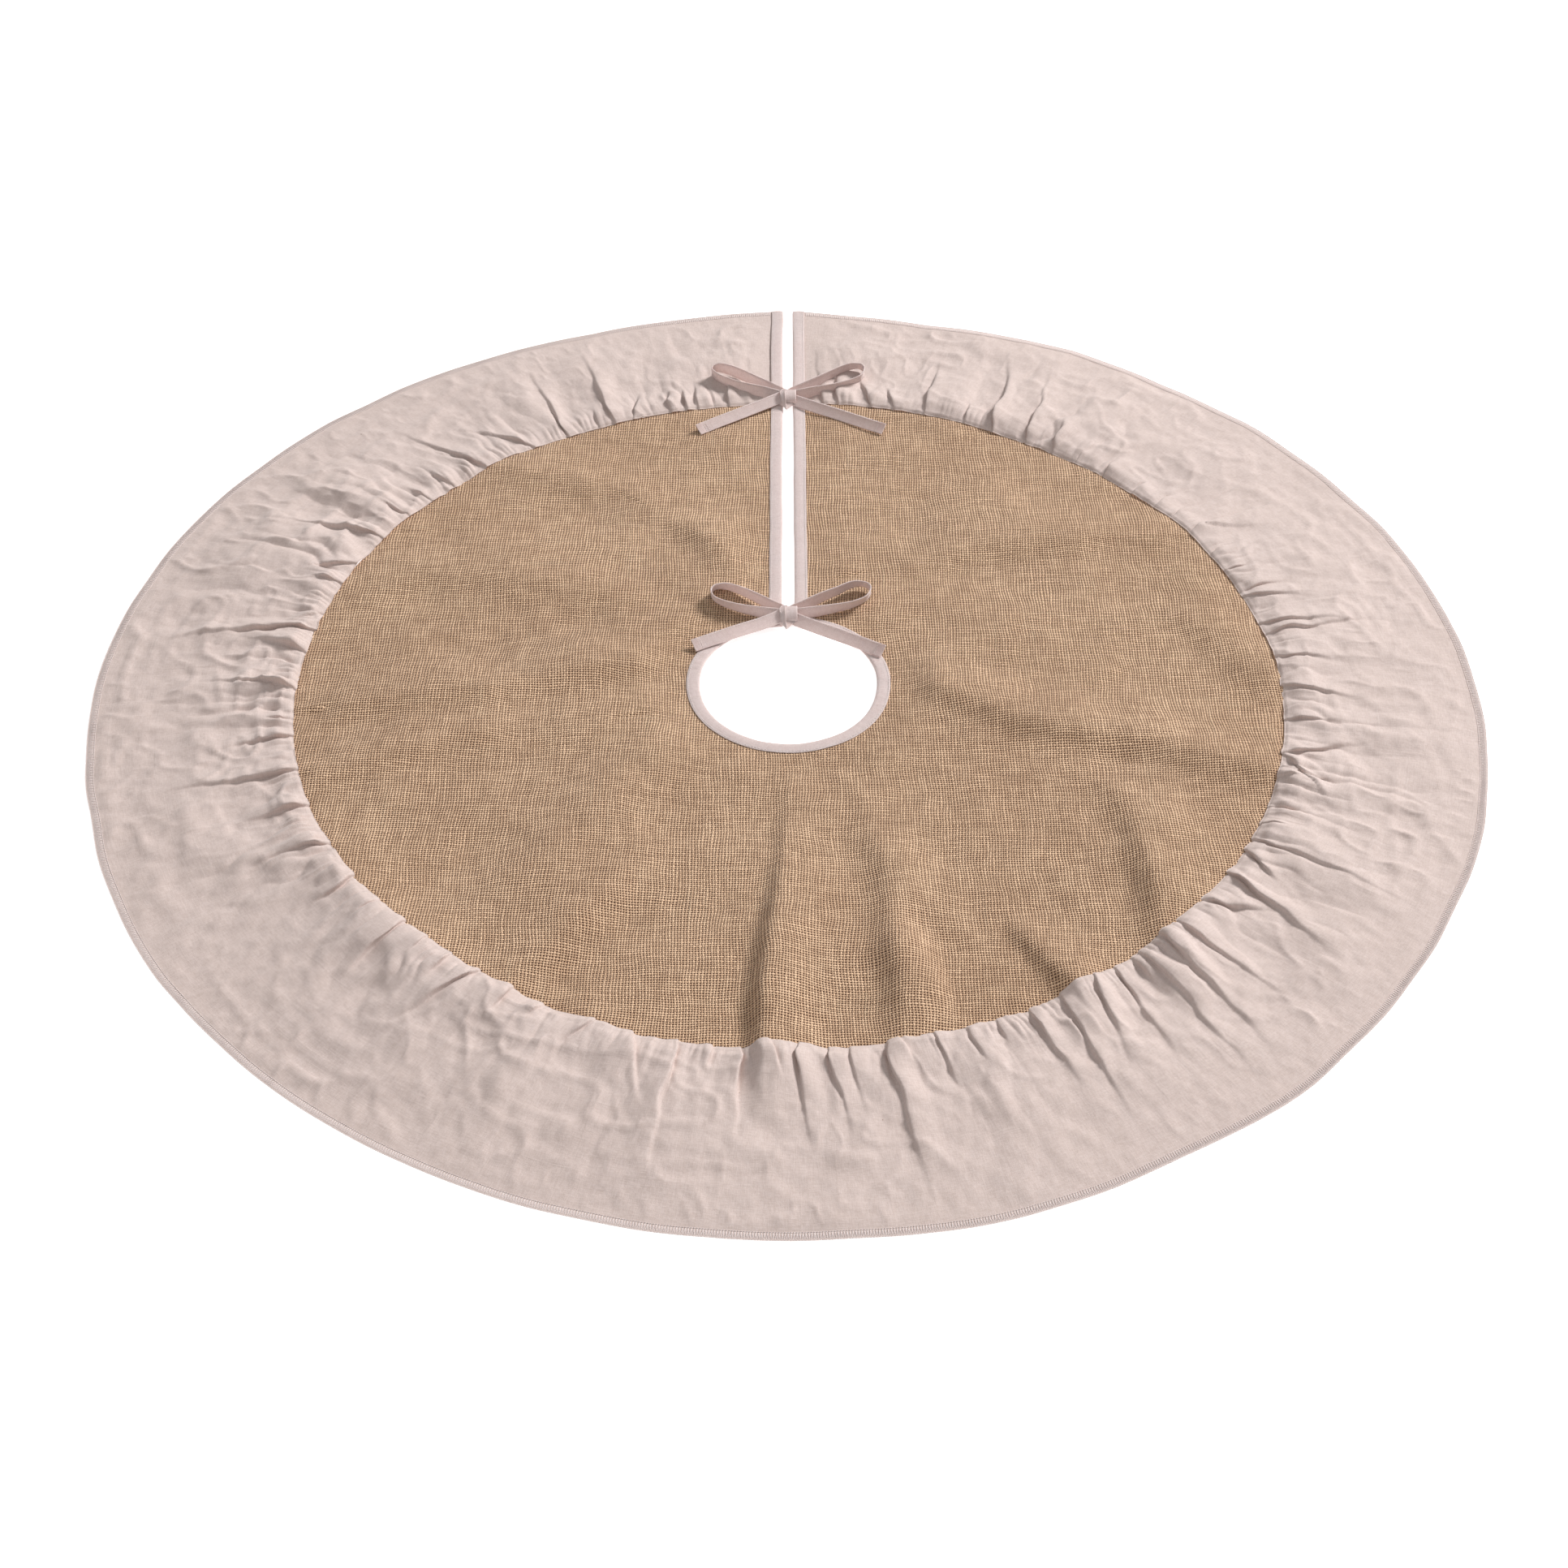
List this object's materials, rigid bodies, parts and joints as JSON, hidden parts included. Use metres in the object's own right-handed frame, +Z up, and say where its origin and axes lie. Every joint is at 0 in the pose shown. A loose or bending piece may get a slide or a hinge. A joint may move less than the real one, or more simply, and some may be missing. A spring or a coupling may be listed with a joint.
{
  "type": "tree skirt",
  "caption": "Round gathered-ruffle tree skirt, laid flat, with a bound trunk hole and a back slit closed by tied bows; its back flaps fold forward.",
  "frame": {"origin": "on the floor, under the centre of the trunk hole", "axes": "+Z up; +Y from the hole along the slit, towards the back; +X to the right as seen from the front"},
  "size_m": [1.22, 1.2197, 0.0168],
  "materials": {
    "burlap_jute": "coarse plain-woven jute, tan, matte",
    "ruffle_cotton": "fine plain-woven cotton, pale blush, soft matte with sparse dark slubs",
    "binding_cotton": "folded cotton tape, dusty blush, slightly smoother than the ruffle, topstitched",
    "overlock_thread": "closely wrapped overlock thread, pinkish white"
  },
  "bodies": {
    "front": {"burlap_front": "burlap_jute", "ruffle_front": "ruffle_cotton", "seam_allowance_front": "overlock_thread", "neck_binding_front": "binding_cotton", "edge_overlock_front": "overlock_thread"},
    "left_flap": {"burlap_left_flap": "burlap_jute", "ruffle_left_flap": "ruffle_cotton", "seam_allowance_left_flap": "overlock_thread", "neck_binding_left_flap": "binding_cotton", "edge_overlock_left_flap": "overlock_thread", "slit_binding_left": "binding_cotton", "lower_left_sewn_end": "binding_cotton", "lower_knot": "binding_cotton", "upper_left_sewn_end": "binding_cotton", "upper_knot": "binding_cotton"},
    "right_flap": {"burlap_right_flap": "burlap_jute", "ruffle_right_flap": "ruffle_cotton", "seam_allowance_right_flap": "overlock_thread", "neck_binding_right_flap": "binding_cotton", "edge_overlock_right_flap": "overlock_thread", "slit_binding_right": "binding_cotton", "lower_right_sewn_end": "binding_cotton", "upper_right_sewn_end": "binding_cotton"},
    "lower_left_loop": {"lower_left_loop": "binding_cotton"},
    "lower_left_tail": {"lower_left_tail": "binding_cotton"},
    "lower_right_loop": {"lower_right_loop": "binding_cotton"},
    "lower_right_tail": {"lower_right_tail": "binding_cotton"},
    "upper_left_loop": {"upper_left_loop": "binding_cotton"},
    "upper_left_tail": {"upper_left_tail": "binding_cotton"},
    "upper_right_loop": {"upper_right_loop": "binding_cotton"},
    "upper_right_tail": {"upper_right_tail": "binding_cotton"}
  },
  "joints": [
    {"name": "left_flap_fold", "type": "hinge", "parent": "front", "child": "left_flap", "pos_m": [0, 0, 0.0035], "axis": [1, 0, 0], "range_deg": [0, 135]},
    {"name": "right_flap_fold", "type": "hinge", "parent": "front", "child": "right_flap", "pos_m": [0, 0, 0.0035], "axis": [1, 0, 0], "range_deg": [0, 135]},
    {"name": "lower_left_loop_lift", "type": "hinge", "parent": "left_flap", "child": "lower_left_loop", "pos_m": [-0.01166, 0.09275, 0.0168], "axis": [0.4226, 0.9063, 0], "range_deg": [0, 45]},
    {"name": "lower_left_tail_lift", "type": "hinge", "parent": "left_flap", "child": "lower_left_tail", "pos_m": [-0.01351, 0.084, 0.0058], "axis": [-0.4848, 0.8746, 0], "range_deg": [0, 20]},
    {"name": "lower_right_loop_lift", "type": "hinge", "parent": "right_flap", "child": "lower_right_loop", "pos_m": [0.00706, 0.09275, 0.0168], "axis": [0.4226, -0.9063, 0], "range_deg": [0, 45]},
    {"name": "lower_right_tail_lift", "type": "hinge", "parent": "right_flap", "child": "lower_right_tail", "pos_m": [0.00891, 0.084, 0.0058], "axis": [-0.4848, -0.8746, 0], "range_deg": [0, 20]},
    {"name": "upper_left_loop_lift", "type": "hinge", "parent": "left_flap", "child": "upper_left_loop", "pos_m": [-0.01196, 0.4427, 0.0168], "axis": [0.5446, 0.8387, 0], "range_deg": [0, 45]},
    {"name": "upper_left_tail_lift", "type": "hinge", "parent": "left_flap", "child": "upper_left_tail", "pos_m": [-0.0136, 0.434, 0.0058], "axis": [-0.5, 0.866, 0], "range_deg": [0, 20]},
    {"name": "upper_right_loop_lift", "type": "hinge", "parent": "right_flap", "child": "upper_right_loop", "pos_m": [0.00736, 0.4427, 0.0168], "axis": [0.5446, -0.8387, 0], "range_deg": [0, 45]},
    {"name": "upper_right_tail_lift", "type": "hinge", "parent": "right_flap", "child": "upper_right_tail", "pos_m": [0.009, 0.434, 0.0058], "axis": [-0.5, -0.866, 0], "range_deg": [0, 20]}
  ]
}
